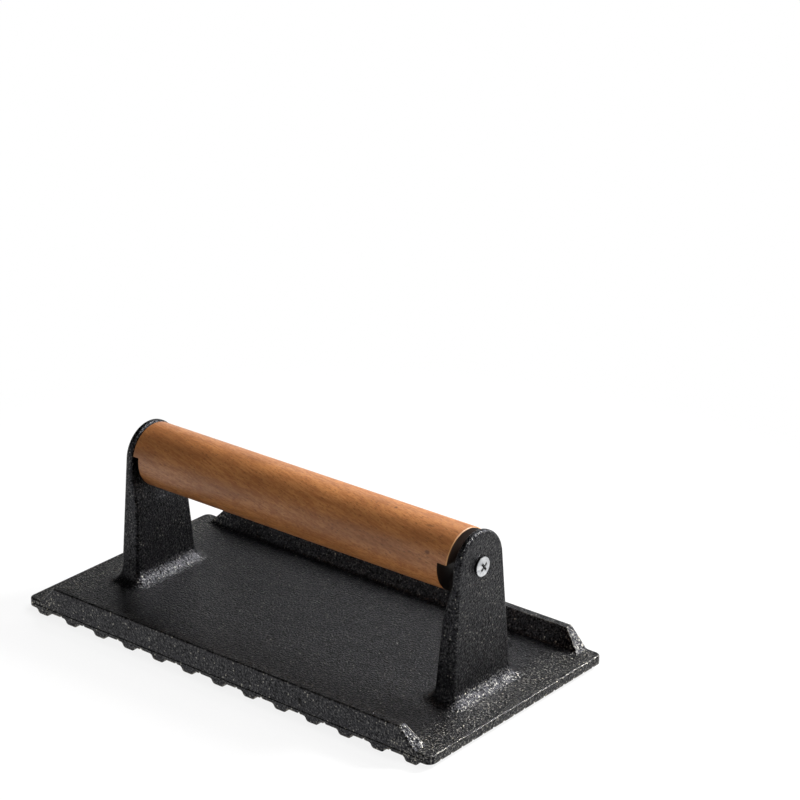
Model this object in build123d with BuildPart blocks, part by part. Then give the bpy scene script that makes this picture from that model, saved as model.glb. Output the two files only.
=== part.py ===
from build123d import *
import math
import os

# Meat press: one iron casting with a gridded sole, a turned beech handle and two screws.
# X runs along the handle, Y across it and Z up. The lugs under the long edges stand on Z = 0.
# Every size is in millimetres.

# Plate
plate_length = 210.0
plate_width = 107.0
plate_thickness = 3.5
plate_corner_radius = 3.0
plate_edge_rounding = 0.7

# Gridded sole
grid_rows = 33
grid_columns = 17
groove_width = 1.2
groove_depth = 0.7

# Lugs along both long edges, which the press stands on
lug_count = 13
lug_setback = 9.0
lug_height = 1.9
lug_root_length = 9.0
lug_tip_length = 3.4
lug_reach = 4.0

# Mould line along both long sides
mould_line_height = 1.5
mould_line_width = 0.5
mould_line_depth = 0.3

# Raised rims on both long edges, set back from the plate's ends
rim_height = 8.0
rim_top_width = 3.5
rim_foot_width = 6.5
rim_setback = 7.5
rim_end_slope = 7.5
rim_edge_rounding = 0.8
rim_end_rounding = 1.6
rim_root_radius = 2.2

# Posts that carry the handle, set back from the plate's ends, with both faces closing in towards the top
post_setback = 17.8
post_draft = 1.0
post_web_thickness = 3.4
post_foot_thickness = 7.0
post_foot_draft = 1.6
post_head_radius = 13.6
post_foot_width = 35.6
post_shoulder_drop = 4.0
post_shoulder_height = 15.0
post_edge_rounding = 1.2
post_root_radius = 6.5

# Handle, which is a little shorter than the gap between the posts and lies against the -X one
handle_rise = 52.1
handle_diameter = 26.2
handle_end_rounding = 0.8
handle_end_clearance = 2.2
handle_shift = -2.1

# Flat-topped boss round the screw on each post, which a step in the handle's end sits on
ledge_radius = 7.6
ledge_depth = 3.3
ledge_top_above_axis = 2.2
ledge_clearance = 0.2

# Screws, a little below the handle's axis
screw_drop = 0.4
screw_length = 34.0
screw_shank_diameter = 4.0
screw_head_diameter = 7.8
screw_proud = 0.4
screw_rim_thickness = 0.4
screw_dome_height = 0.5
screw_tip_length = 5.0
screw_clearance = 0.15
screw_cone_angle = 90.0
recess_wing_count = 2
recess_wing_span = 3.9
recess_wing_width = 1.0
recess_depth = 1.6
recess_taper = 14.0
recess_turn = 35.0

# How far a piece of the casting runs into the next one, so that they merge
sinking = 1.0

# How near an edge lies to the place that it is picked by
picking_slack = 0.01

# Heights and places worked out from the sizes above
land_height = lug_height
plate_top = land_height + plate_thickness
axis_height = plate_top + handle_rise
screw_height = axis_height - screw_drop
post_outer_x = plate_length / 2 - post_setback - post_draft
web_inner_x = post_outer_x - post_web_thickness
foot_inner_x = post_outer_x - post_foot_thickness
ledge_inner_x = web_inner_x - ledge_depth
post_deepest_x = min(ledge_inner_x, foot_inner_x - post_foot_draft) - sinking
shoulder_top = screw_height - post_shoulder_drop
shoulder_bottom = shoulder_top - post_shoulder_height
ledge_top = axis_height + ledge_top_above_axis
handle_radius = handle_diameter / 2
handle_half_length = web_inner_x - handle_end_clearance
step_half_spread = ledge_inner_x - handle_end_clearance
step_height = ledge_top + ledge_clearance
screw_radius = screw_shank_diameter / 2
screw_head_radius = screw_head_diameter / 2
screw_hole_radius = screw_radius + screw_clearance
screw_cone_slope = math.tan(math.radians(screw_cone_angle / 2))
screw_cone_depth = (screw_head_radius - screw_radius) / screw_cone_slope
screw_seat_radius = screw_head_radius - screw_proud * screw_cone_slope
screw_tip_x = post_outer_x - screw_length
screw_axis = Axis((0, 0, screw_height), (1, 0, 0))
right_screw_plane = Plane(origin=(post_outer_x, 0, screw_height), z_dir=(1, 0, 0))
left_screw_plane = Plane(origin=(-post_outer_x, 0, screw_height), z_dir=(-1, 0, 0))

# Rim on the +Y edge: a bar with a sloping inner face and slanted ends, hollowed where it meets the plate
rim_outer_y = plate_width / 2
rim_foot_y = rim_outer_y - rim_foot_width
rim_top_y = rim_outer_y - rim_top_width
rim_top_z = plate_top + rim_height
rim_foot_x = plate_length / 2 - rim_setback
rim_top_x = rim_foot_x - rim_end_slope
rim_length = 2 * (rim_foot_x + rim_root_radius)

with BuildPart() as rim:
    with BuildSketch(Plane.YZ.offset(-rim_length / 2)) as rim_section:
        with BuildLine():
            Polyline(
                (rim_outer_y, plate_top - sinking),
                (rim_outer_y, rim_top_z),
                (rim_top_y, rim_top_z),
                (rim_foot_y, plate_top),
                (rim_foot_y - rim_root_radius, plate_top),
                (rim_foot_y - rim_root_radius, plate_top - sinking),
                close=True,
            )
        make_face()
        section_corners = rim_section.vertices()
        fillet(section_corners.sort_by_distance((rim_foot_y, plate_top))[0], rim_root_radius)
        fillet(section_corners.sort_by_distance((rim_top_y, rim_top_z))[0], rim_edge_rounding)
    extrude(amount=rim_length)
    with BuildSketch(Plane.XZ) as rim_side:
        with BuildLine():
            Polyline(
                (0, plate_top - sinking),
                (rim_length / 2, plate_top - sinking),
                (rim_length / 2, plate_top),
                (rim_foot_x, plate_top),
                (rim_top_x, rim_top_z),
                (0, rim_top_z),
                close=True,
            )
        make_face()
        side_corners = rim_side.vertices()
        fillet(side_corners.sort_by_distance((rim_foot_x, plate_top))[0], rim_root_radius)
        fillet(side_corners.sort_by_distance((rim_top_x, rim_top_z))[0], rim_end_rounding)
        mirror(about=Plane.YZ)
    extrude(amount=plate_width, both=True, mode=Mode.INTERSECT)

# Post on the +X side: a round-headed upright, thin behind the handle's end and thicker below it.
# Its straight sides leave the round head at a tangent, and its outer face leans in by the draft.
foot_half_width = post_foot_width / 2
foot_reach = math.hypot(foot_half_width, handle_rise)
tangent_angle = math.atan2(foot_half_width, handle_rise) + math.acos(post_head_radius / foot_reach)
tangent_y = post_head_radius * math.sin(tangent_angle)
tangent_z = axis_height - post_head_radius * math.cos(tangent_angle)
side_slope = (foot_half_width - tangent_y) / (tangent_z - plate_top)
sunk_half_width = foot_half_width + side_slope * sinking
outer_slope = post_draft / handle_rise
post_cut_top = axis_height + 2 * post_head_radius
outer_bottom_x = post_outer_x + outer_slope * (handle_rise + sinking)
outer_top_x = post_outer_x - outer_slope * (post_cut_top - axis_height)

with BuildPart() as post:
    with BuildSketch(Plane.YZ.offset(post_deepest_x)):
        with BuildLine():
            Polyline(
                (tangent_y, tangent_z),
                (sunk_half_width, plate_top - sinking),
                (-sunk_half_width, plate_top - sinking),
                (-tangent_y, tangent_z),
            )
            ThreePointArc(
                (-tangent_y, tangent_z),
                (0, axis_height + post_head_radius),
                (tangent_y, tangent_z),
            )
        make_face()
    extrude(amount=plate_length / 2 - post_deepest_x)
    with BuildSketch(Plane.XZ):
        with BuildLine():
            Polyline(
                (foot_inner_x - post_foot_draft, plate_top - sinking),
                (foot_inner_x, shoulder_bottom),
                (web_inner_x, shoulder_top),
                (web_inner_x, post_cut_top),
                (outer_top_x, post_cut_top),
                (outer_bottom_x, plate_top - sinking),
                close=True,
            )
        make_face()
    extrude(amount=post_foot_width, both=True, mode=Mode.INTERSECT)
    post_rims = post.edges().filter_by(
        lambda e: e.center().Z > axis_height
        or (e.center().Z > plate_top and abs(e.center().Y) > tangent_y / 2)
    )
    fillet(post_rims, radius=post_edge_rounding)
    with BuildSketch(Plane.YZ.offset(ledge_inner_x)):
        with Locations((0, screw_height)):
            Circle(ledge_radius)
        with Locations((0, ledge_top)):
            Rectangle(
                2 * ledge_radius,
                2 * ledge_radius,
                align=(Align.CENTER, Align.MIN),
                mode=Mode.SUBTRACT,
            )
    extrude(amount=ledge_depth + post_web_thickness / 2)

# One lug on the +Y edge, with a short flat tip between two S-shaped flanks
flank_middle = ((lug_root_length + lug_tip_length) / 4, land_height / 2)
with BuildPart() as lug:
    with BuildSketch(Plane.XZ.offset(-rim_outer_y)):
        with BuildLine():
            Polyline(
                (lug_root_length / 2, land_height),
                (lug_root_length / 2, land_height + sinking),
                (0, land_height + sinking),
                (0, 0),
                (lug_tip_length / 2, 0),
            )
            TangentArc((lug_tip_length / 2, 0), flank_middle, tangent=(1, 0))
            TangentArc((lug_root_length / 2, land_height), flank_middle, tangent=(-1, 0))
        make_face()
        mirror(about=Plane.YZ)
    extrude(amount=lug_reach)

lug_pitch = (plate_length - 2 * lug_setback) / (lug_count - 1)
with BuildPart() as lug_row:
    with GridLocations(lug_pitch, 0, lug_count, 1):
        add(lug.part)

# Casting: plate, rims, posts, grid and lugs are one piece of iron
row_pitch = plate_length / grid_rows
column_pitch = plate_width / grid_columns
mould_line_z = land_height + mould_line_height


def groove_profile() -> Sketch:
    """Draw one V groove in the active sketch, open downwards, with its mouth on the land."""
    with BuildSketch(mode=Mode.PRIVATE) as profile:
        with BuildLine():
            Polyline(
                (-groove_width / 2, 0),
                (0, groove_depth),
                (groove_width / 2, 0),
                (groove_width / 2, -sinking),
                (-groove_width / 2, -sinking),
                close=True,
            )
        make_face()
    return add(profile.sketch)


with BuildPart() as cast_body:
    with BuildSketch(Plane.XY.offset(land_height)):
        RectangleRounded(plate_length, plate_width, plate_corner_radius)
    extrude(amount=plate_thickness)
    add(rim.part)
    mirror(rim.part, about=Plane.XZ)
    add(post.part)
    mirror(post.part, about=Plane.YZ)

    # Hollow roots of the posts
    post_roots = cast_body.edges().filter_by_position(
        Axis.Z,
        plate_top - picking_slack,
        plate_top + picking_slack,
    ).filter_by(
        lambda e: abs(e.center().Y) < foot_half_width + picking_slack
        and abs(e.center().X) < post_outer_x + picking_slack
    )
    fillet(post_roots, radius=post_root_radius)

    # Rounded outline of the plate's top and of the rims' outer sides
    outline = cast_body.edges().filter_by(
        lambda e: e.center().Z > plate_top - picking_slack
        and (
            abs(abs(e.center().Y) - rim_outer_y) < picking_slack
            or abs(e.center().X) > plate_length / 2 - plate_corner_radius
        )
    )
    fillet(outline, radius=plate_edge_rounding)

    # Mould line, a fine V groove along both long sides
    with BuildSketch(Plane.YZ):
        for side in (1, -1):
            with BuildLine():
                Polyline(
                    (side * (rim_outer_y + sinking), mould_line_z - mould_line_width / 2),
                    (side * rim_outer_y, mould_line_z - mould_line_width / 2),
                    (side * (rim_outer_y - mould_line_depth), mould_line_z),
                    (side * rim_outer_y, mould_line_z + mould_line_width / 2),
                    (side * (rim_outer_y + sinking), mould_line_z + mould_line_width / 2),
                    close=True,
                )
            make_face()
    extrude(amount=plate_length / 2 - plate_corner_radius, both=True, mode=Mode.SUBTRACT)

    # Grid of V grooves in the sole
    with BuildSketch(Plane.XZ):
        with Locations([(row_pitch * (i + 1) - plate_length / 2, land_height) for i in range(grid_rows - 1)]):
            groove_profile()
    extrude(amount=plate_width, both=True, mode=Mode.SUBTRACT)
    with BuildSketch(Plane.YZ):
        with Locations(
            [(column_pitch * (i + 1) - plate_width / 2, land_height) for i in range(grid_columns - 1)]
        ):
            groove_profile()
    extrude(amount=plate_length, both=True, mode=Mode.SUBTRACT)

    # Holes and countersunk seats for the screws
    with Locations(right_screw_plane, left_screw_plane):
        CounterSinkHole(
            radius=screw_hole_radius,
            counter_sink_radius=screw_seat_radius + screw_clearance,
            depth=post_web_thickness + 2 * ledge_depth,
            counter_sink_angle=screw_cone_angle,
        )

    # Lugs, put on after the grooves so that they stand whole
    add(lug_row.part)
    mirror(lug_row.part, about=Plane.XZ)
cast_body.part.label = "cast_body"

# Handle: a turned beech bar whose lower part is cut back at both ends, to sit on the ledges
with BuildPart() as wood_handle:
    with BuildSketch(Plane.YZ.offset(handle_shift - handle_half_length)):
        with Locations((0, axis_height)):
            Circle(handle_radius)
    extrude(amount=2 * handle_half_length)
    fillet(wood_handle.edges().filter_by(GeomType.CIRCLE), radius=handle_end_rounding)
    with BuildSketch(Plane.XZ):
        for side in (1, -1):
            with Locations((handle_shift + side * step_half_spread, step_height)):
                Rectangle(
                    2 * ledge_depth,
                    handle_diameter,
                    align=(Align.MIN if side > 0 else Align.MAX, Align.MAX),
                )
    extrude(amount=handle_diameter, both=True, mode=Mode.SUBTRACT)
    with Locations(right_screw_plane, left_screw_plane):
        Hole(radius=screw_hole_radius, depth=screw_length + screw_clearance)
wood_handle.part.label = "wood_handle"

# Screw at the +X end: a raised countersunk wood screw with a cross recess, whose head stands a little proud
screw_cone_x = post_outer_x + screw_proud
screw_rim_x = screw_cone_x + screw_rim_thickness
with BuildPart() as handle_screw_right:
    with BuildSketch(Plane.XZ):
        with BuildLine():
            Polyline(
                (screw_rim_x + screw_dome_height, screw_height),
                (screw_tip_x, screw_height),
                (screw_tip_x + screw_tip_length, screw_height + screw_radius),
                (screw_cone_x - screw_cone_depth, screw_height + screw_radius),
                (screw_cone_x, screw_height + screw_head_radius),
                (screw_rim_x, screw_height + screw_head_radius),
            )
            TangentArc(
                (screw_rim_x + screw_dome_height, screw_height),
                (screw_rim_x, screw_height + screw_head_radius),
                tangent=(0, 1),
            )
        make_face()
    revolve(axis=screw_axis)
    for wing in range(recess_wing_count):
        with BuildSketch(right_screw_plane.offset(screw_proud + screw_rim_thickness + screw_dome_height)):
            Rectangle(
                recess_wing_span,
                recess_wing_width,
                rotation=recess_turn + wing * 180 / recess_wing_count,
            )
        extrude(amount=-recess_depth, taper=recess_taper, mode=Mode.SUBTRACT)
handle_screw_right.part.label = "handle_screw_right"

with BuildPart() as handle_screw_left:
    mirror(handle_screw_right.part, about=Plane.YZ)
handle_screw_left.part.label = "handle_screw_left"

os.makedirs("parts", exist_ok=True)
for piece in (cast_body, wood_handle, handle_screw_right, handle_screw_left):
    export_step(piece.part, f"parts/{piece.part.label}.step")
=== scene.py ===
"""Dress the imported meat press: an iron casting, a turned beech handle and two zinc-plated screws.

Lengths are in metres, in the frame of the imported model: X along the handle, Y across it and Z up from
the lugs' tips. Only the finishes count places and sizes in millimetres.
"""

from __future__ import annotations

import logging
import math
from dataclasses import dataclass
from dataclasses import field
from enum import Enum

import bpy
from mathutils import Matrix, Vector

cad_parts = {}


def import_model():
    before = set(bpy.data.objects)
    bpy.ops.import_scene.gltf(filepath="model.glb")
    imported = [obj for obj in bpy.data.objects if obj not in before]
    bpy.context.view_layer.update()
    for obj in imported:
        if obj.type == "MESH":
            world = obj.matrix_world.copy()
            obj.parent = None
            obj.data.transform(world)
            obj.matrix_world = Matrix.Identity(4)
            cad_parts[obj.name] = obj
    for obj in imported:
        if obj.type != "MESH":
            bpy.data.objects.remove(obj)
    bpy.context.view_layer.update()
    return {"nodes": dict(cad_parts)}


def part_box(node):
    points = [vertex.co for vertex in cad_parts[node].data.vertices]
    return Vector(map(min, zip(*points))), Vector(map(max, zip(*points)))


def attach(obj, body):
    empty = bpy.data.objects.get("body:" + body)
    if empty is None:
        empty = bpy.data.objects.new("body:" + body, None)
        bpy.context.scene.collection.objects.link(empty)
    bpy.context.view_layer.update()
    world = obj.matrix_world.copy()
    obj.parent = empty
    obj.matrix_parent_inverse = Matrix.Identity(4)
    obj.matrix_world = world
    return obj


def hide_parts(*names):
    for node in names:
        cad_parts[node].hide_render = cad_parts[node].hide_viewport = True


LOG = logging.getLogger("meat_press")
BODY = "root"
MILLIMETRE = 0.001
# The turn that lays an upright cylinder along X.
ALONG_X = (0.0, math.radians(90.0), 0.0)


class Slot(Enum):
    """The record's material slots."""

    IRON = "cast_iron"
    BEECH = "beech"
    SCREW = "screw_steel"


class Node(Enum):
    """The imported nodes."""

    CASTING = "cast_body"
    HANDLE = "wood_handle"
    RIGHT_SCREW = "handle_screw_right"
    LEFT_SCREW = "handle_screw_left"


Socket = bpy.types.NodeSocket
Sockets = dict[str, Socket]
Outputs = bpy.types.bpy_prop_collection
Colour = tuple[float, float, float]
Point = tuple[float, float, float]
Span = tuple[float, float]
WHITE: Colour = (1.0, 1.0, 1.0)


@dataclass
class Graph:
    """A node tree while it is being wired.

    Attributes:
        tree: The material's, world's or group's node tree.
    """

    tree: bpy.types.NodeTree

    def add(
        self, kind: str, inputs: dict[str | int, object] | None = None, **settings: object
    ) -> bpy.types.Node:
        """Add a node, set its properties and fill its inputs.

        Args:
            kind: Blender's identifier of the node.
            inputs: Sockets to link or values to set, by input name or number.
            **settings: Properties of the node.

        Returns:
            The new node.
        """
        node = self.tree.nodes.new(kind)
        for name, value in settings.items():
            setattr(node, name, value)
        for name, value in (inputs or {}).items():
            self.feed(value, node.inputs[name])
        return node

    def feed(self, value: object, target: Socket) -> None:
        """Link a socket into an input, or set the input's value.

        Args:
            value: The socket or the value. A colour is given without its alpha.
            target: The input.
        """
        if isinstance(value, Socket):
            self.tree.links.new(value, target)
        elif isinstance(value, tuple) and target.type == "RGBA":
            target.default_value = (*value, 1.0)
        else:
            target.default_value = value

    def math(self, operation: str, *values: float | Socket, clamp: bool = False) -> Socket:
        """Wire one arithmetic step and return its result."""
        node = self.add("ShaderNodeMath", dict(enumerate(values)), operation=operation, use_clamp=clamp)
        return node.outputs[0]

    def times(self, first: float | Socket, second: float | Socket) -> Socket:
        """Multiply two numbers."""
        return self.math("MULTIPLY", first, second)

    def vector(self, operation: str, *values: tuple | Socket) -> Socket:
        """Wire one vector step and return its vector, or its number if it measures a length."""
        node = self.add("ShaderNodeVectorMath", dict(enumerate(values)), operation=operation)
        return node.outputs["Value" if operation == "LENGTH" else "Vector"]

    def scaled(self, vector: Socket, factors: Point) -> Socket:
        """Stretch a vector by three factors."""
        return self.vector("MULTIPLY", vector, factors)

    def parts(self, vector: Socket) -> Outputs:
        """Split a vector or a colour into its X, Y and Z."""
        return self.add("ShaderNodeSeparateXYZ", {"Vector": vector}).outputs

    def joined(self, x: float | Socket, y: float | Socket, z: float | Socket) -> Socket:
        """Join three numbers into a vector."""
        return self.add("ShaderNodeCombineXYZ", {"X": x, "Y": y, "Z": z}).outputs["Vector"]

    def millimetres(self) -> Socket:
        """Return the piece's own coordinates, in millimetres."""
        place = self.add("ShaderNodeTexCoord").outputs["Object"]
        return self.scaled(place, (1 / MILLIMETRE, 1 / MILLIMETRE, 1 / MILLIMETRE))

    def noise(
        self, vector: Socket, size: float | Socket, detail: float = 2.0, roughness: float = 0.5
    ) -> Socket:
        """Add a lumpy noise.

        Args:
            vector: The place at which it is read.
            size: The rough size of its lumps, in the vector's unit.
            detail: How many finer layers it has.
            roughness: How strong the finer layers are.

        Returns:
            A number from 0 to 1.
        """
        scale = self.math("DIVIDE", 1.0, size)
        inputs = {"Vector": vector, "Scale": scale, "Detail": detail, "Roughness": roughness}
        return self.add("ShaderNodeTexNoise", inputs).outputs["Fac"]

    def cells(self, vector: Socket, size: float | Socket, **settings: object) -> Outputs:
        """Add a scatter of cells.

        Args:
            vector: The place at which it is read.
            size: The rough distance between the cells' middles, in the vector's unit.
            **settings: Properties of the node.

        Returns:
            The Distance from the nearest middle and the cell's random Color, among the outputs.
        """
        inputs = {"Vector": vector, "Scale": self.math("DIVIDE", 1.0, size)}
        return self.add("ShaderNodeTexVoronoi", inputs, **settings).outputs

    def ramp(
        self, value: float | Socket, low: float, high: float, start: float = 0.0, end: float = 1.0
    ) -> Socket:
        """Map a value smoothly from the range low to high onto the range start to end."""
        inputs = {"Value": value, "From Min": low, "From Max": high, "To Min": start, "To Max": end}
        return self.add("ShaderNodeMapRange", inputs, interpolation_type="SMOOTHSTEP").outputs["Result"]

    def mix(self, share: float | Socket, first: Colour | Socket, second: Colour | Socket) -> Socket:
        """Mix two colours.

        Args:
            share: How much of the second colour there is.
            first: The colour at a share of 0.
            second: The colour at a share of 1.

        Returns:
            The mixed colour.
        """
        node = self.add("ShaderNodeMix", data_type="RGBA")
        self.feed(share, node.inputs["Factor"])
        self.feed(first, node.inputs[6])
        self.feed(second, node.inputs[7])
        return node.outputs[2]

    def raise_grain(self, shader: bpy.types.Node, height: Socket, depth: float, strength: float) -> None:
        """Give a shader a relief.

        Args:
            shader: The Principled shader.
            height: The relief's height, from about 0 to 1.
            depth: How deep the relief is, in millimetres.
            strength: How strongly it shows.
        """
        inputs = {"Strength": strength, "Distance": depth * MILLIMETRE, "Height": height}
        self.feed(self.add("ShaderNodeBump", inputs).outputs["Normal"], shader.inputs["Normal"])

    def shade(self, kind: str, inputs: dict[str | int, object] | None = None) -> Socket:
        """Add a simple shader and return its output."""
        return self.add(kind, inputs).outputs[0]

    def blend(self, share: Socket, first: Socket, second: Socket) -> Socket:
        """Mix two shaders."""
        return self.shade("ShaderNodeMixShader", {"Fac": share, 1: first, 2: second})


def new_group(
    name: str, inputs: dict[str, float], outputs: tuple[str, ...]
) -> tuple[Graph, Sockets, Sockets]:
    """Start a node group with a vector input, number inputs and number outputs.

    Args:
        name: The group's name.
        inputs: The number inputs and their values at first.
        outputs: The number outputs.

    Returns:
        The group's graph, the sockets that its inputs give and the sockets that its outputs take.
    """
    tree = bpy.data.node_groups.new(name, "ShaderNodeTree")
    tree.interface.new_socket(name="Vector", in_out="INPUT", socket_type="NodeSocketVector")
    for label, value in inputs.items():
        socket = tree.interface.new_socket(name=label, in_out="INPUT", socket_type="NodeSocketFloat")
        socket.default_value = value
    for label in outputs:
        tree.interface.new_socket(name=label, in_out="OUTPUT", socket_type="NodeSocketFloat")
    graph = Graph(tree)
    entry = graph.add("NodeGroupInput")
    exit_node = graph.add("NodeGroupOutput")
    given = {socket.name: socket for socket in entry.outputs if socket.name}
    taken = {socket.name: socket for socket in exit_node.inputs if socket.name}
    return graph, given, taken


@dataclass
class Effects:
    """The node groups that more than one material uses.

    Attributes:
        lump_height: Height of the lumps in the fine relief.
        gap_depth: Depth of the gaps between its grains.
        grain_range: Heights at which the mask of the highest grains begins and is full.
        hollow_range: Heights at which the mask of the hollows begins and is full.
        speck_growth: How much larger than the smallest a speck may be, in shares of the spacing.
        speck_fade: Distances at which a speck begins to fade and is gone, in the same shares.
        speck_chance: Random values from which a cell's speck begins to show and is full.
        mottle_range: Heights of the swells at which the mottle begins and is full.
        edge_range: Shares of blocked rays at which an outer edge begins and is full.
        wear_contrast: How sharply the worn patches end.
        edge_rays: How many rays look for edges and corners.
        mark_fade: Shares of a mark's half sizes at which it begins to fade and is gone.
        relief: The group of fine grains on slow swells.
        edges: The group of worn outer edges and sheltered inner corners.
        mark: The group of one local mark.
    """

    lump_height: float = 1.4
    gap_depth: float = 0.5
    grain_range: Span = (0.52, 0.85)
    hollow_range: Span = (0.5, 0.25)
    speck_growth: float = 0.2
    speck_fade: Span = (0.0, 0.12)
    speck_chance: Span = (0.7, 0.9)
    mottle_range: Span = (0.3, 0.7)
    edge_range: Span = (0.18, 0.6)
    wear_contrast: float = 5.0
    edge_rays: int = 6
    mark_fade: Span = (0.35, 1.0)
    relief: bpy.types.NodeTree = field(init=False)
    edges: bpy.types.NodeTree = field(init=False)
    mark: bpy.types.NodeTree = field(init=False)

    def __post_init__(self) -> None:
        """Build each group once."""
        self.relief = self.build_relief()
        self.edges = self.build_edges()
        self.mark = self.build_mark()

    def build_relief(self) -> bpy.types.NodeTree:
        """Build the relief of fine grains on slow swells.

        Returns:
            A group with the relief's height, masks of its highest grains and its hollows, scattered
            glinting specks and a slow mottle.
        """
        inputs = {"Grain size": 0.5, "Swell size": 6.0, "Swell share": 0.4, "Speck spacing": 1.0}
        outputs = ("Height", "Grains", "Hollows", "Specks", "Mottle")
        graph, given, taken = new_group("fine relief", inputs, outputs)
        place = given["Vector"]
        lumps = graph.noise(place, given["Grain size"], detail=3.0, roughness=0.62)
        gaps = graph.cells(place, given["Grain size"], feature="SMOOTH_F1")["Distance"]
        sand = graph.math(
            "SUBTRACT", graph.times(lumps, self.lump_height), graph.times(gaps, self.gap_depth)
        )
        swell = graph.noise(place, given["Swell size"], detail=3.0)
        fine_share = graph.math("SUBTRACT", 1.0, given["Swell share"])
        height = graph.math(
            "ADD", graph.times(sand, fine_share), graph.times(swell, given["Swell share"])
        )
        scatter = graph.cells(place, given["Speck spacing"])
        chance = graph.parts(scatter["Color"])
        growth = graph.times(chance["Y"], self.speck_growth)
        outside = graph.math("SUBTRACT", scatter["Distance"], growth)
        dot = graph.ramp(outside, *self.speck_fade, 1.0, 0.0)
        specks = graph.times(dot, graph.ramp(chance["X"], *self.speck_chance))
        graph.feed(height, taken["Height"])
        graph.feed(graph.ramp(sand, *self.grain_range), taken["Grains"])
        graph.feed(graph.ramp(sand, *self.hollow_range), taken["Hollows"])
        graph.feed(specks, taken["Specks"])
        graph.feed(graph.ramp(swell, *self.mottle_range), taken["Mottle"])
        return graph.tree

    def build_edges(self) -> bpy.types.NodeTree:
        """Build the masks of worn outer edges and sheltered inner corners.

        Returns:
            A group whose Edge is 1 along every outer edge, whose Worn is 1 where such an edge is rubbed
            and whose Sheltered is 1 in a deep corner.
        """
        inputs = {"Reach": 0.8, "Patch size": 2.5, "Wear": 0.5}
        graph, given, taken = new_group("edge wear", inputs, ("Edge", "Worn", "Sheltered"))
        reach = {"Distance": graph.times(given["Reach"], MILLIMETRE)}
        kind = "ShaderNodeAmbientOcclusion"
        within = graph.add(kind, reach, samples=self.edge_rays, inside=True, only_local=True)
        around = graph.add(kind, reach, samples=self.edge_rays)
        edge = graph.ramp(graph.math("SUBTRACT", 1.0, within.outputs["AO"]), *self.edge_range)
        patches = graph.noise(given["Vector"], given["Patch size"], detail=4.0, roughness=0.7)
        threshold = graph.math("SUBTRACT", 1.0, given["Wear"])
        rubbed = graph.times(graph.math("SUBTRACT", patches, threshold), self.wear_contrast)
        rubbed = graph.math("ADD", rubbed, 0.5, clamp=True)
        graph.feed(edge, taken["Edge"])
        graph.feed(graph.times(edge, rubbed), taken["Worn"])
        graph.feed(graph.math("SUBTRACT", 1.0, around.outputs["AO"]), taken["Sheltered"])
        return graph.tree

    def build_mark(self) -> bpy.types.NodeTree:
        """Build one local mark, such as a knot, a dent or a pit.

        Returns:
            A group whose Mask is 1 inside an ellipsoid round the vector's zero point and fades at its edge.
        """
        inputs = {"Length": 1.0, "Width": 1.0, "Raggedness": 0.3}
        graph, given, taken = new_group("local mark", inputs, ("Mask",))
        shape = graph.joined(given["Length"], given["Width"], given["Width"])
        distance = graph.vector("LENGTH", graph.vector("DIVIDE", given["Vector"], shape))
        ragged = graph.math("SUBTRACT", graph.noise(given["Vector"], given["Width"]), 0.5)
        distance = graph.math("ADD", distance, graph.times(ragged, given["Raggedness"]))
        graph.feed(graph.ramp(distance, *self.mark_fade, 1.0, 0.0), taken["Mask"])
        return graph.tree


def place_group(graph: Graph, tree: bpy.types.NodeTree, inputs: dict[str, object]) -> Outputs:
    """Put a shared group into a graph with its own values.

    Args:
        graph: The material's graph.
        tree: The group.
        inputs: Sockets to link or values to set, by the group's input names.

    Returns:
        The group's outputs.
    """
    node = graph.add("ShaderNodeGroup", node_tree=tree)
    for name, value in inputs.items():
        graph.feed(value, node.inputs[name])
    return node.outputs


@dataclass(frozen=True)
class Relief:
    """The sizes of a finish's fine relief, in millimetres.

    Attributes:
        grain_size: Size of the grains.
        swell_size: Size of the slow swells.
        swell_share: Share of the swells in the relief's height.
        speck_spacing: Distance between the specks.
    """

    grain_size: float
    swell_size: float
    swell_share: float
    speck_spacing: float = 1.0

    def masks(self, graph: Graph, effects: Effects, place: Socket) -> Outputs:
        """Put the relief into a material.

        Args:
            graph: The material's graph.
            effects: The shared node groups.
            place: The piece's own coordinates, in millimetres.

        Returns:
            The Height, Grains, Hollows, Specks and Mottle.
        """
        inputs = {
            "Vector": place,
            "Grain size": self.grain_size,
            "Swell size": self.swell_size,
            "Swell share": self.swell_share,
            "Speck spacing": self.speck_spacing,
        }
        return place_group(graph, effects.relief, inputs)


@dataclass(frozen=True)
class EdgeWear:
    """How a finish is rubbed along its edges.

    Attributes:
        reach: How far an edge or a corner reaches, in millimetres.
        patch_size: Size of the rubbed patches, in millimetres.
        amount: How much of the edges is rubbed, from 0 to 1.
    """

    reach: float
    patch_size: float
    amount: float

    def masks(self, graph: Graph, effects: Effects, place: Socket) -> Outputs:
        """Put the edge wear into a material.

        Args:
            graph: The material's graph.
            effects: The shared node groups.
            place: The piece's own coordinates, in millimetres.

        Returns:
            The Edge, Worn and Sheltered.
        """
        inputs = {
            "Vector": place,
            "Reach": self.reach,
            "Patch size": self.patch_size,
            "Wear": self.amount,
        }
        return place_group(graph, effects.edges, inputs)


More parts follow.
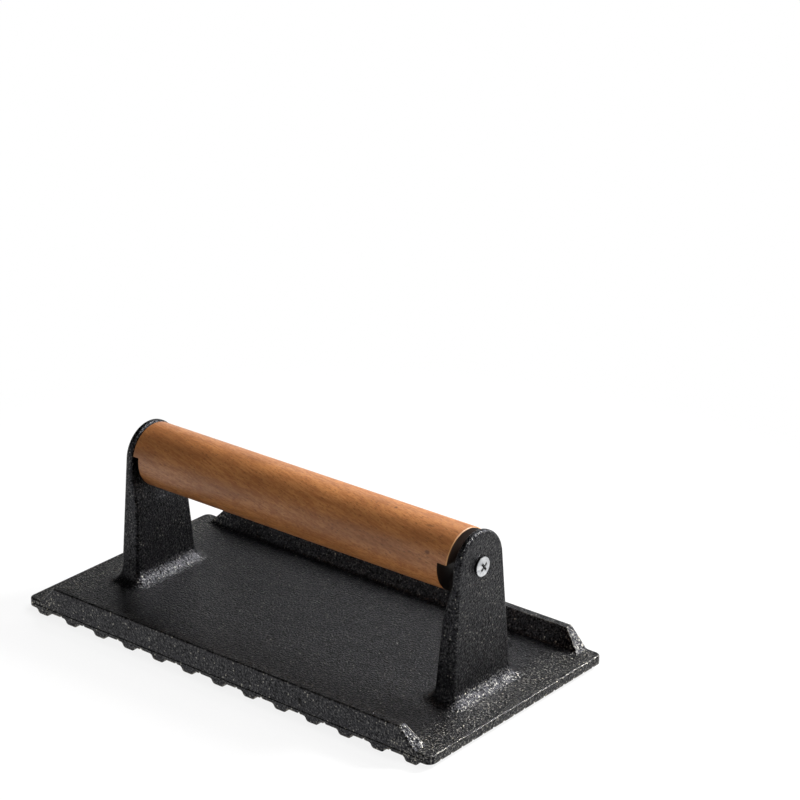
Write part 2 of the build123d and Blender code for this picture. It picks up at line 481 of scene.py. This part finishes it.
@dataclass(frozen=True)
class Mark:
    """One mark that shows in the photograph.

    Attributes:
        spot: Its middle, in millimetres.
        length: Its half length along X, in millimetres.
        width: Its half width, in millimetres.
        strength: How far it covers what lies under it, from 0 to 1.
        raggedness: How uneven its edge is.
    """

    spot: Point
    length: float
    width: float
    strength: float = 1.0
    raggedness: float = 0.5

    def mask(self, graph: Graph, effects: Effects, place: Socket) -> Socket:
        """Put the mark into a material.

        Args:
            graph: The material's graph.
            effects: The shared node groups.
            place: The piece's own coordinates, in millimetres.

        Returns:
            A mask from 0 to the mark's strength.
        """
        inputs = {
            "Vector": graph.vector("SUBTRACT", place, self.spot),
            "Length": self.length,
            "Width": self.width,
            "Raggedness": self.raggedness,
        }
        return graph.times(place_group(graph, effects.mark, inputs)["Mask"], self.strength)


def clear_graph(owner: bpy.types.Material | bpy.types.World) -> Graph:
    """Switch a material's or a world's nodes on and clear them.

    Args:
        owner: The material or the world.

    Returns:
        Its empty graph.
    """
    owner.use_nodes = True
    owner.node_tree.nodes.clear()
    return Graph(owner.node_tree)


def start_material(name: str) -> tuple[bpy.types.Material, Graph, bpy.types.Node]:
    """Make a material that holds only a Principled shader and its output.

    Args:
        name: The material's name.

    Returns:
        The material, its graph and the shader node.
    """
    material = bpy.data.materials.new(name)
    graph = clear_graph(material)
    shader = graph.add("ShaderNodeBsdfPrincipled")
    graph.add("ShaderNodeOutputMaterial", {"Surface": shader.outputs["BSDF"]})
    return material, graph, shader


@dataclass(frozen=True)
class SandCastIron:
    """Raw iron as it comes from the sand: near black, gritty, and rubbed bright on its edges.

    The iron is a metal all over, so its colours say how much it gleams.

    Attributes:
        name: The material's name.
        pore: Gleam of the hollows between the grains.
        skin: Gleam of the casting skin.
        grit: Gleam of the highest grains.
        glint: Gleam of the scattered specks, and of the highest grains at the ends, where it is partly
            painted highlight.
        bare: Gleam of rubbed metal, and of the specks at the ends, where it is partly painted highlight.
        relief: The sand's relief.
        relief_depth: Depth of the relief.
        relief_strength: How strongly the relief shows.
        wear: The rubbing along the edges.
        rubbing: How far bare metal covers a rubbed edge.
        gloss: Roughness at the lowest and at the highest mottle.
        painted_glint_ends: How far out along X the plate's ends begin and are full, where more grains and
            specks gleam: partly wear, partly painted highlight where the lamps glint.
        pit: The casting fault on the near rim.
        crown: The rubbed line round the right post's head.
    """

    name: str = "sand_cast_iron"
    pore: Colour = (0.002, 0.002, 0.002)
    skin: Colour = (0.025, 0.025, 0.028)
    grit: Colour = (0.11, 0.109, 0.105)
    glint: Colour = (0.26, 0.25, 0.22)
    bare: Colour = (0.4, 0.37, 0.3)
    relief: Relief = Relief(grain_size=0.8, swell_size=7.0, swell_share=0.2, speck_spacing=1.4)
    relief_depth: float = 0.36
    relief_strength: float = 1.0
    wear: EdgeWear = EdgeWear(reach=0.9, patch_size=3.0, amount=0.5)
    rubbing: float = 0.75
    gloss: Span = (0.36, 0.3)
    painted_glint_ends: Span = (84.0, 96.0)
    pit: Mark = Mark((41.9, -53.5, 7.6), length=1.2, width=2.0, raggedness=0.6)
    crown: Mark = Mark((85.8, -4.5, 70.2), length=6.0, width=6.0, raggedness=0.6)

    def build(self, effects: Effects) -> bpy.types.Material:
        """Build the material.

        Args:
            effects: The shared node groups.

        Returns:
            The finished material.
        """
        material, graph, shader = start_material(self.name)
        place = graph.millimetres()
        relief = self.relief.masks(graph, effects, place)
        edges = self.wear.masks(graph, effects, place)
        # The ends gleam more: partly wear, partly painted highlight where the key light glints on them.
        end_glint = graph.ramp(graph.math("ABSOLUTE", graph.parts(place)["X"]), *self.painted_glint_ends)
        rubbed_crown = graph.times(edges["Edge"], self.crown.mask(graph, effects, place))
        colour = graph.mix(relief["Hollows"], self.skin, self.pore)
        colour = graph.mix(relief["Grains"], colour, self.grit)
        colour = graph.mix(graph.times(relief["Grains"], end_glint), colour, self.glint)
        colour = graph.mix(relief["Specks"], colour, graph.mix(end_glint, self.glint, self.bare))
        colour = graph.mix(graph.times(edges["Worn"], self.rubbing), colour, self.bare)
        colour = graph.mix(rubbed_crown, colour, self.bare)
        colour = graph.mix(self.pit.mask(graph, effects, place), colour, self.pore)
        graph.feed(colour, shader.inputs["Base Color"])
        shader.inputs["Metallic"].default_value = 1.0
        graph.feed(graph.ramp(relief["Mottle"], 0.0, 1.0, *self.gloss), shader.inputs["Roughness"])
        graph.raise_grain(shader, relief["Height"], self.relief_depth, self.relief_strength)
        return material


@dataclass(frozen=True)
class TurnedBeech:
    """Steamed beech, turned and lacquered: warm brown, with fine streaks and short dark flecks.

    The values that end in scale say how fine a pattern is along and across the bar, per millimetre.

    Attributes:
        name: The material's name.
        pale: Colour of the pale streaks.
        middle: Colour of the streaks between them.
        dark: Colour of the clouds and of the late wood.
        fleck: Colour of the flecks and of the marks.
        shaded_end_grain: Colour of the end faces: darker end grain with painted shade, as in the narrow gap
            by the posts.
        end_edge_highlight: Colour of the rounded edge round them, a painted highlight.
        lean: How far the grain leans away from the bar's axis, as a slope.
        streak_scale: Fineness of the streaks.
        fibre_scale: Fineness of the fibres.
        fibre_share: Share of the fibres in the tone, where the streaks have the rest.
        tone_range: Tones at which the pale streaks begin and are full.
        cloud_scale: Fineness of the dark clouds.
        cloud_range: Heights at which the clouds begin and are full.
        cloud_share: How far the clouds cover the streaks.
        drift_scale: Fineness of the yearly rings' wandering.
        drift: How far the rings wander.
        pith: Where the tree's middle lay.
        ring_spacing: Distance between the rings.
        ring_range: Shares of a ring at which its late wood begins and is full.
        ring_share: How far the late wood covers the streaks.
        fleck_scale: Fineness of the flecks.
        fleck_fade: Distances at which a fleck begins to fade and is gone.
        fleck_chance: Random values from which a fleck begins to show and is full.
        fleck_share: How far the flecks cover the wood.
        edge_facing: How far a face looks along X where the painted highlight on the end edge begins and is
            full.
        end_facing: How far it looks along X where the shaded end grain begins and is full.
        gloss_range: Tones between which the gloss changes.
        gloss: Roughness at those tones.
        specular: Strength of the lacquer's reflections.
        tone_relief: Height of the pale streaks in the relief.
        fleck_relief: Depth of the flecks in the relief.
        relief_depth: Depth of the relief.
        relief_strength: How strongly the relief shows.
        marks: The hole, the dent, the knot and the two scratches below the knot.
    """

    name: str = "turned_beech"
    pale: Colour = (0.4, 0.168, 0.055)
    middle: Colour = (0.28, 0.102, 0.03)
    dark: Colour = (0.16, 0.054, 0.016)
    fleck: Colour = (0.085, 0.028, 0.009)
    shaded_end_grain: Colour = (0.016, 0.009, 0.006)
    end_edge_highlight: Colour = (0.4, 0.2, 0.08)
    lean: float = 0.16
    streak_scale: Point = (0.09, 1.0, 1.0)
    fibre_scale: Point = (0.5, 2.6, 2.6)
    fibre_share: float = 0.4
    tone_range: Span = (0.4, 0.6)
    cloud_scale: Point = (0.02, 0.09, 0.09)
    cloud_range: Span = (0.42, 0.7)
    cloud_share: float = 0.5
    drift_scale: Point = (0.012, 0.05, 0.05)
    drift: float = 9.0
    pith: Point = (0.0, 26.0, -16.0)
    ring_spacing: float = 2.4
    ring_range: Span = (0.55, 1.0)
    ring_share: float = 0.15
    fleck_scale: Point = (0.45, 1.35, 1.35)
    fleck_fade: Span = (0.1, 0.45)
    fleck_chance: Span = (0.0, 0.9)
    fleck_share: float = 0.55
    edge_facing: Span = (0.3, 0.6)
    end_facing: Span = (0.8, 0.95)
    gloss_range: Span = (0.3, 0.7)
    gloss: Span = (0.5, 0.38)
    specular: float = 0.38
    tone_relief: float = 0.6
    fleck_relief: float = 0.5
    relief_depth: float = 0.12
    relief_strength: float = 0.35
    marks: tuple[Mark, ...] = (
        Mark((46.4, -1.8, 70.5), length=0.9, width=0.8, strength=0.9),
        Mark((65.6, -5.1, 69.6), length=2.6, width=0.7, strength=0.6),
        Mark((69.9, -12.2, 62.4), length=1.7, width=1.1, strength=0.75),
        Mark((67.0, -12.9, 59.2), length=1.2, width=0.5, strength=0.5),
        Mark((70.0, -12.9, 58.6), length=1.0, width=0.4, strength=0.5),
    )

    def build(self, effects: Effects) -> bpy.types.Material:
        """Build the material.

        Args:
            effects: The shared node groups.

        Returns:
            The finished material.
        """
        material, graph, shader = start_material(self.name)
        place = graph.millimetres()
        lean = graph.times(graph.parts(place)["X"], self.lean)
        leaned = graph.vector("ADD", place, graph.joined(0.0, lean, lean))
        tone = self.tone(graph, leaned)
        clouds = graph.noise(graph.scaled(place, self.cloud_scale), 1.0, detail=3.0)
        clouds = graph.times(graph.ramp(clouds, *self.cloud_range), self.cloud_share)
        rings = graph.times(self.late_wood(graph, place), self.ring_share)
        flecks = self.flecks(graph, leaned)
        colour = graph.mix(graph.ramp(tone, *self.tone_range), self.middle, self.pale)
        colour = graph.mix(clouds, colour, self.dark)
        colour = graph.mix(rings, colour, self.dark)
        colour = graph.mix(graph.times(flecks, self.fleck_share), colour, self.fleck)
        for mark in self.marks:
            colour = graph.mix(mark.mask(graph, effects, place), colour, self.fleck)
        facing = graph.add("ShaderNodeTexCoord").outputs["Normal"]
        endways = graph.math("ABSOLUTE", graph.parts(facing)["X"])
        # Painted highlight on the rounded edge round each end.
        colour = graph.mix(graph.ramp(endways, *self.edge_facing), colour, self.end_edge_highlight)
        # The end faces and the steps' faces are darkened: end grain and painted shade of the narrow gap by
        # the posts.
        colour = graph.mix(graph.ramp(endways, *self.end_facing), colour, self.shaded_end_grain)
        graph.feed(colour, shader.inputs["Base Color"])
        graph.feed(graph.ramp(tone, *self.gloss_range, *self.gloss), shader.inputs["Roughness"])
        shader.inputs["Specular IOR Level"].default_value = self.specular
        height = graph.math(
            "SUBTRACT", graph.times(tone, self.tone_relief), graph.times(flecks, self.fleck_relief)
        )
        graph.raise_grain(shader, height, self.relief_depth, self.relief_strength)
        return material

    def tone(self, graph: Graph, leaned: Socket) -> Socket:
        """Mix the streaks and the fibres.

        Args:
            graph: The material's graph.
            leaned: The coordinates that lean with the grain.

        Returns:
            The tone from 0, darker, to 1, paler.
        """
        streaks = graph.noise(graph.scaled(leaned, self.streak_scale), 1.0, detail=3.0, roughness=0.6)
        fibres = graph.noise(graph.scaled(leaned, self.fibre_scale), 1.0)
        return graph.math(
            "ADD", graph.times(streaks, 1 - self.fibre_share), graph.times(fibres, self.fibre_share)
        )

    def late_wood(self, graph: Graph, place: Socket) -> Socket:
        """Lay the yearly rings round the pith.

        Args:
            graph: The material's graph.
            place: The handle's own coordinates, in millimetres.

        Returns:
            A mask of the dark outer part of each ring.
        """
        across = graph.scaled(graph.vector("SUBTRACT", place, self.pith), (0.0, 1.0, 1.0))
        drift = graph.times(graph.noise(graph.scaled(place, self.drift_scale), 1.0), self.drift)
        radius = graph.math("ADD", graph.vector("LENGTH", across), drift)
        ring = graph.math("FRACT", graph.math("DIVIDE", radius, self.ring_spacing))
        return graph.ramp(ring, *self.ring_range)

    def flecks(self, graph: Graph, leaned: Socket) -> Socket:
        """Scatter the short flecks.

        Args:
            graph: The material's graph.
            leaned: The coordinates that lean with the grain.

        Returns:
            A mask of the flecks.
        """
        cells = graph.cells(graph.scaled(leaned, self.fleck_scale), 1.0)
        chance = graph.ramp(graph.parts(cells["Color"])["X"], *self.fleck_chance)
        return graph.times(graph.ramp(cells["Distance"], *self.fleck_fade, 1.0, 0.0), chance)


@dataclass(frozen=True)
class ZincPlate:
    """Bright zinc on a drawn screw head, with painted shade in its cross recess and corners.

    Attributes:
        name: The material's name.
        bright: Colour of clean zinc.
        dull: Colour of clouded zinc.
        recess_shade: Colour of the painted shade in the recess and the corners.
        relief: The zinc's relief.
        relief_depth: Depth of the relief.
        relief_strength: How strongly the relief shows.
        wear: The reach of the corners that get painted shade.
        corner_range: How sheltered a corner is where its painted shade begins and is full.
        gleam: Metallic of clean zinc and of the painted shade.
        gloss: Roughness of clean and of clouded zinc.
        screw_height: Height of the screws' axis.
        arm_reach: How far the recess's arms reach from the axis.
        arm_half_width: Half the arms' width.
        full_width: Share of the half width within which the dirt is full.
        full_reach: Share of the reach within which the dirt is full.
    """

    name: str = "bright_zinc"
    bright: Colour = (0.72, 0.73, 0.74)
    dull: Colour = (0.45, 0.46, 0.48)
    recess_shade: Colour = (0.03, 0.028, 0.025)
    relief: Relief = Relief(grain_size=0.3, swell_size=1.6, swell_share=0.6)
    relief_depth: float = 0.08
    relief_strength: float = 0.4
    wear: EdgeWear = EdgeWear(reach=1.2, patch_size=1.0, amount=0.6)
    corner_range: Span = (0.25, 0.8)
    gleam: Span = (1.0, 0.2)
    gloss: Span = (0.24, 0.4)
    screw_height: float = 57.1
    arm_reach: float = 2.4
    arm_half_width: float = 0.5
    full_width: float = 0.4
    full_reach: float = 0.8

    def cross(self, graph: Graph, place: Socket) -> Socket:
        """Paint shade in and round the cross recess.

        Args:
            graph: The material's graph.
            place: The screws' own coordinates, in millimetres.

        Returns:
            A mask of two diagonal arms that cross on the screws' axis.
        """
        parts = graph.parts(place)
        up = graph.math("SUBTRACT", parts["Z"], self.screw_height)
        rising, falling = (
            graph.math("ABSOLUTE", graph.times(graph.math(step, parts["Y"], up), math.sqrt(0.5)))
            for step in ("ADD", "SUBTRACT")
        )
        nearest = graph.math("MINIMUM", rising, falling)
        furthest = graph.math("MAXIMUM", rising, falling)
        inner_width = self.full_width * self.arm_half_width
        inner_reach = self.full_reach * self.arm_reach
        across = graph.ramp(nearest, self.arm_half_width, inner_width)
        return graph.times(across, graph.ramp(furthest, self.arm_reach, inner_reach))

    def build(self, effects: Effects) -> bpy.types.Material:
        """Build the material.

        Args:
            effects: The shared node groups.

        Returns:
            The finished material.
        """
        material, graph, shader = start_material(self.name)
        place = graph.millimetres()
        relief = self.relief.masks(graph, effects, place)
        edges = self.wear.masks(graph, effects, place)
        # Painted shade in the sheltered corners and in the cross recess.
        corners = graph.ramp(edges["Sheltered"], *self.corner_range)
        painted_shade = graph.math("MAXIMUM", corners, self.cross(graph, place))
        colour = graph.mix(relief["Mottle"], self.bright, self.dull)
        colour = graph.mix(painted_shade, colour, self.recess_shade)
        graph.feed(colour, shader.inputs["Base Color"])
        graph.feed(graph.ramp(painted_shade, 0.0, 1.0, *self.gleam), shader.inputs["Metallic"])
        graph.feed(graph.ramp(relief["Mottle"], 0.0, 1.0, *self.gloss), shader.inputs["Roughness"])
        graph.raise_grain(shader, relief["Height"], self.relief_depth, self.relief_strength)
        return material


def dress(piece: bpy.types.Object, material: bpy.types.Material) -> None:
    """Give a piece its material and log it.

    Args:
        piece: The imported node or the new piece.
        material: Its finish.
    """
    for place in piece.material_slots:
        place.material = material
    if not piece.material_slots:
        piece.data.materials.append(material)
    LOG.info("%s: %s, %d faces", piece.name, material.name, len(piece.data.polygons))


def take_up(name: str) -> bpy.types.Object:
    """Name the primitive that was just added and bring its place into its mesh.

    Args:
        name: The piece's name.

    Returns:
        The piece.
    """
    piece = bpy.context.object
    piece.name = name
    bpy.ops.object.transform_apply(location=True, rotation=True, scale=True)
    return piece


def cut_away(piece: bpy.types.Object, cutter: bpy.types.Object) -> None:
    """Cut a shape out of a piece and remove the shape.

    Args:
        piece: What is cut.
        cutter: The shape.
    """
    bpy.ops.object.select_all(action="DESELECT")
    bpy.context.view_layer.objects.active = piece
    piece.select_set(True)
    cut = piece.modifiers.new("cut", "BOOLEAN")
    cut.operation = "DIFFERENCE"
    cut.solver = "EXACT"
    cut.object = cutter
    bpy.ops.object.modifier_apply(modifier=cut.name)
    bpy.data.objects.remove(cutter, do_unlink=True)


@dataclass
class TurnedHandle:
    """The beech handle, with finer ends and eased step edges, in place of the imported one.

    Attributes:
        sides: Flats round the turned bar.
        end_rounding: Radius of the rubbed edge round both ends.
        end_segments: Steps across that edge.
        step_depth: How far each step reaches in from the handle's end.
        step_above_axis: Height of the steps' flats over the handle's axis.
        step_easing: Width of the eased edges of the steps.
        easing_segments: Steps across an eased edge.
        easing_angle: Turn from which an edge is eased, in degrees.
        smooth_angle: Turn up to which faces are shaded as one, in degrees.
        bore_sides: Flats round the screw holes.
        bore_radius: Radius of the screw holes.
        bore_depth: Depth of the screw holes from the handle's ends.
        bore_drop: How far the screws lie below the handle's axis.
        right_reach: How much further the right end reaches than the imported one, as in the photograph.
    """

    sides: int = 96
    end_rounding: float = 0.7 * MILLIMETRE
    end_segments: int = 4
    step_depth: float = 3.3 * MILLIMETRE
    step_above_axis: float = 2.4 * MILLIMETRE
    step_easing: float = 0.25 * MILLIMETRE
    easing_segments: int = 2
    easing_angle: float = 50.0
    smooth_angle: float = 35.0
    bore_sides: int = 32
    bore_radius: float = 2.15 * MILLIMETRE
    bore_depth: float = 28.0 * MILLIMETRE
    bore_drop: float = 0.4 * MILLIMETRE
    right_reach: float = 1.0 * MILLIMETRE

    def build(self) -> bpy.types.Object:
        """Model the handle.

        Returns:
            The finished piece, which rides on the press's body.
        """
        low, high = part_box(Node.HANDLE.value)
        high.x += self.right_reach
        middle = (low + high) / 2
        length = high.x - low.x
        radius = (high.z - low.z) / 2
        bpy.ops.object.select_all(action="DESELECT")
        bpy.ops.mesh.primitive_cylinder_add(
            vertices=self.sides, radius=radius, depth=length, location=middle, rotation=ALONG_X
        )
        handle = take_up("turned_handle")
        self.round_ends(handle, low.x, high.x)
        for end_x in (low.x, high.x - self.right_reach):
            self.cut_step(handle, Vector((end_x, middle.y, middle.z)), radius)
            self.cut_bore(handle, Vector((end_x, middle.y, middle.z - self.bore_drop)))
        self.ease_steps(handle)
        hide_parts(Node.HANDLE.value)
        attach(handle, BODY)
        return handle

    def round_ends(self, handle: bpy.types.Object, low_x: float, high_x: float) -> None:
        """Round the edge round both ends.

        Args:
            handle: The bar.
            low_x: Where its left end face lies.
            high_x: Where its right end face lies.
        """
        bpy.ops.object.mode_set(mode="EDIT")
        bpy.ops.mesh.select_mode(type="EDGE")
        bpy.ops.mesh.select_all(action="DESELECT")
        bpy.ops.object.mode_set(mode="OBJECT")
        points = handle.data.vertices
        tolerance = 0.1 * self.end_rounding
        for edge in handle.data.edges:
            places = [points[index].co.x for index in edge.vertices]
            edge.select = any(
                all(abs(x - end_x) < tolerance for x in places) for end_x in (low_x, high_x)
            )
        bpy.ops.object.mode_set(mode="EDIT")
        bpy.ops.mesh.bevel(offset=self.end_rounding, segments=self.end_segments, affect="EDGES")
        bpy.ops.object.mode_set(mode="OBJECT")

    def cut_step(self, handle: bpy.types.Object, end: Vector, radius: float) -> None:
        """Cut the lower part of one end back, where the post's ledge goes in.

        Args:
            handle: The bar.
            end: The middle of the end face.
            radius: The bar's radius.
        """
        bpy.ops.object.select_all(action="DESELECT")
        bpy.ops.mesh.primitive_cube_add(
            size=1.0,
            location=(end.x, end.y, end.z + self.step_above_axis - 2 * radius),
            scale=(2 * self.step_depth, 4 * radius, 4 * radius),
        )
        cut_away(handle, take_up("step_cutter"))

    def cut_bore(self, handle: bpy.types.Object, mouth: Vector) -> None:
        """Bore one screw hole into the end grain.

        Args:
            handle: The bar.
            mouth: The middle of the hole's mouth.
        """
        bpy.ops.object.select_all(action="DESELECT")
        bpy.ops.mesh.primitive_cylinder_add(
            vertices=self.bore_sides,
            radius=self.bore_radius,
            depth=2 * self.bore_depth,
            location=mouth,
            rotation=ALONG_X,
        )
        cut_away(handle, take_up("bore_cutter"))

    def ease_steps(self, handle: bpy.types.Object) -> None:
        """Ease the steps' edges and shade the round faces smooth.

        Args:
            handle: The bar, which is the active object.
        """
        easing = handle.modifiers.new("eased edges", "BEVEL")
        easing.width = self.step_easing
        easing.segments = self.easing_segments
        easing.limit_method = "ANGLE"
        easing.angle_limit = math.radians(self.easing_angle)
        bpy.ops.object.modifier_apply(modifier=easing.name)
        bpy.ops.object.shade_smooth_by_angle(angle=math.radians(self.smooth_angle))


@dataclass
class Press:
    """The press's pieces, as packed, with their finishes.

    Attributes:
        nodes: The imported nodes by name.
        effects: The shared node groups.
    """

    nodes: dict[str, bpy.types.Object]
    effects: Effects

    def dress_nodes(self) -> None:
        """Dress the casting, the handle and the screws."""
        dress(self.nodes[Node.CASTING.value], SandCastIron().build(self.effects))
        beech = TurnedBeech().build(self.effects)
        dress(self.nodes[Node.HANDLE.value], beech)
        dress(TurnedHandle().build(), beech)
        zinc = ZincPlate().build(self.effects)
        for node in (Node.RIGHT_SCREW, Node.LEFT_SCREW):
            dress(self.nodes[node.value], zinc)


def outwards(azimuth: float, elevation: float) -> Vector:
    """Return the direction in which something stands round the press.

    Args:
        azimuth: How far round it stands from -Y towards +X, in degrees.
        elevation: How high it stands, in degrees.

    Returns:
        A vector of length 1 that points away from the press.
    """
    turn = math.radians(azimuth)
    rise = math.radians(elevation)
    return Vector((math.sin(turn) * math.cos(rise), -math.cos(turn) * math.cos(rise), math.sin(rise)))


@dataclass(frozen=True)
class Softbox:
    """A square lamp that hangs round the press and points at it.

    Attributes:
        name: The lamp's name.
        azimuth: How far round it hangs from -Y towards +X, in degrees.
        elevation: How high it hangs, in degrees.
        size: Length of its sides.
        power: Its power in watts.
        distance: How far it hangs from its aim.
    """

    name: str
    azimuth: float
    elevation: float
    size: float
    power: float
    distance: float = 1.3

    def hang(self, aim: Vector) -> None:
        """Hang the lamp.

        Args:
            aim: The point that it lights.
        """
        away = outwards(self.azimuth, self.elevation)
        lamp = bpy.data.lights.new(self.name, "AREA")
        lamp.shape = "SQUARE"
        lamp.size = self.size
        lamp.energy = self.power
        stand = bpy.data.objects.new(self.name, lamp)
        stand.location = aim + away * self.distance
        stand.rotation_euler = away.to_track_quat("Z", "Y").to_euler()
        bpy.context.scene.collection.objects.link(stand)


@dataclass
class Studio:
    """A pale floor, soft lamps and the camera.

    Attributes:
        camera_place: Where the camera stands.
        camera_azimuth: How far the camera stands round from -Y towards +X, in degrees.
        camera_elevation: How far the camera looks down, in degrees.
        lens: The camera's focal length in millimetres, on a 36 mm frame.
        nearest: The nearest distance that the camera shows.
        aim: The point that the lamps light.
        lamps: The soft lamps.
        floor_half_width: Half the floor's width.
        floor_drop: How far the floor lies below the lugs' tips.
        paper: Colour of the floor where it only lights the press.
        faint: Colour that the lamps light on the seen floor, so that the shadow shows.
        glow: Light that the seen floor adds to that by itself.
        shadow_reach: Distances from the middle at which the seen floor begins to turn white and is white.
        ceiling: Strength of the even light, and of the ceiling that is seen.
        sweep_rise: How steeply up a white direction begins to fade and has become the ceiling, as a sine.
    """

    camera_place: Vector = field(default_factory=lambda: Vector((0.6748, -0.7643, 0.5158)))
    camera_azimuth: float = 39.41
    camera_elevation: float = 22.11
    lens: float = 128.46
    nearest: float = 0.01
    aim: Vector = field(default_factory=lambda: Vector((0.0, 0.0, 0.03)))
    lamps: tuple[Softbox, ...] = (
        Softbox("key_softbox", azimuth=152.0, elevation=35.0, size=0.3, power=31.0),
        Softbox("rear_softbox", azimuth=180.0, elevation=50.0, size=0.4, power=9.0),
        Softbox("back_softbox", azimuth=219.0, elevation=25.0, size=0.4, power=0.95),
        Softbox("right_softbox", azimuth=110.0, elevation=60.0, size=0.4, power=8.5),
        Softbox("front_softbox", azimuth=350.0, elevation=12.0, size=0.4, power=2.2),
    )
    floor_half_width: float = 3.0
    floor_drop: float = 0.05 * MILLIMETRE
    paper: Colour = (0.8, 0.8, 0.8)
    faint: Colour = (0.12, 0.12, 0.12)
    glow: float = 0.86
    shadow_reach: Span = (0.12, 0.3)
    ceiling: float = 0.035
    sweep_rise: Span = (0.0, 0.14)

    def build(self) -> None:
        """Set the floor, the world, the lamps and the camera."""
        self.lay_floor()
        self.light_world()
        for lamp in self.lamps:
            lamp.hang(self.aim)
        self.place_camera()
        bpy.context.scene.view_settings.view_transform = "Standard"

    def background_mask(self, graph: Graph) -> Socket:
        """Tell what sees the background from what it only lights.

        Args:
            graph: The floor's or the world's graph.

        Returns:
            1 for the camera, gloss and clear materials, and 0 for the rest.
        """
        path = graph.add("ShaderNodeLightPath").outputs
        seen = graph.math("MAXIMUM", path["Is Camera Ray"], path["Is Glossy Ray"])
        return graph.math("MAXIMUM", seen, path["Is Transmission Ray"])

    def lay_floor(self) -> None:
        """Lay the floor under the press."""
        bpy.ops.object.select_all(action="DESELECT")
        bpy.ops.mesh.primitive_plane_add(
            size=2 * self.floor_half_width, location=(0.0, 0.0, -self.floor_drop)
        )
        floor = bpy.context.object
        floor.name = "pale_floor"
        floor.data.materials.append(self.floor_finish())

    def floor_finish(self) -> bpy.types.Material:
        """Build the floor's material.

        Returns:
            White with the press's shadow near it, plain white further off, and clear from below.
        """
        material = bpy.data.materials.new("pale_floor")
        graph = clear_graph(material)
        place = graph.add("ShaderNodeTexCoord").outputs["Object"]
        far = graph.ramp(graph.vector("LENGTH", place), *self.shadow_reach)
        paper = graph.shade("ShaderNodeBsdfDiffuse", {"Color": self.paper})
        faint = graph.shade("ShaderNodeBsdfDiffuse", {"Color": self.faint})
        glow = graph.shade("ShaderNodeEmission", {"Color": WHITE, "Strength": self.glow})
        near_light = graph.shade("ShaderNodeAddShader", {0: faint, 1: glow})
        white = graph.shade("ShaderNodeEmission", {"Color": WHITE, "Strength": 1.0})
        seen = graph.blend(far, near_light, white)
        sheet = graph.blend(self.background_mask(graph), paper, seen)
        below = graph.add("ShaderNodeNewGeometry").outputs["Backfacing"]
        clear = graph.shade("ShaderNodeBsdfTransparent")
        graph.add("ShaderNodeOutputMaterial", {"Surface": graph.blend(below, sheet, clear)})
        return material

    def light_world(self) -> None:
        """Light with a dim even grey, which is seen as a white sweep that fades into a dim ceiling."""
        world = bpy.data.worlds.new("white_studio")
        graph = clear_graph(world)
        dim = graph.shade("ShaderNodeBackground", {"Color": WHITE, "Strength": self.ceiling})
        direction = graph.add("ShaderNodeTexCoord").outputs["Generated"]
        sweep = graph.ramp(graph.parts(direction)["Z"], *self.sweep_rise, 1.0, self.ceiling)
        white = graph.shade("ShaderNodeBackground", {"Color": WHITE, "Strength": sweep})
        both = graph.blend(self.background_mask(graph), dim, white)
        graph.add("ShaderNodeOutputWorld", {"Surface": both})
        bpy.context.scene.world = world

    def place_camera(self) -> None:
        """Place the camera at the photograph's viewing angle."""
        look = -outwards(self.camera_azimuth, self.camera_elevation)
        data = bpy.data.cameras.new("photo_camera")
        data.lens = self.lens
        data.clip_start = self.nearest
        camera = bpy.data.objects.new("photo_camera", data)
        camera.location = self.camera_place
        camera.rotation_euler = look.to_track_quat("-Z", "Y").to_euler()
        bpy.context.scene.collection.objects.link(camera)
        bpy.context.scene.camera = camera


def main() -> None:
    """Load the frame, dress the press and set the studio."""
    logging.basicConfig(level=logging.INFO, format="%(name)s: %(message)s")
    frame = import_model()
    Press(frame["nodes"], Effects()).dress_nodes()
    Studio().build()


if __name__ == "__main__":
    main()
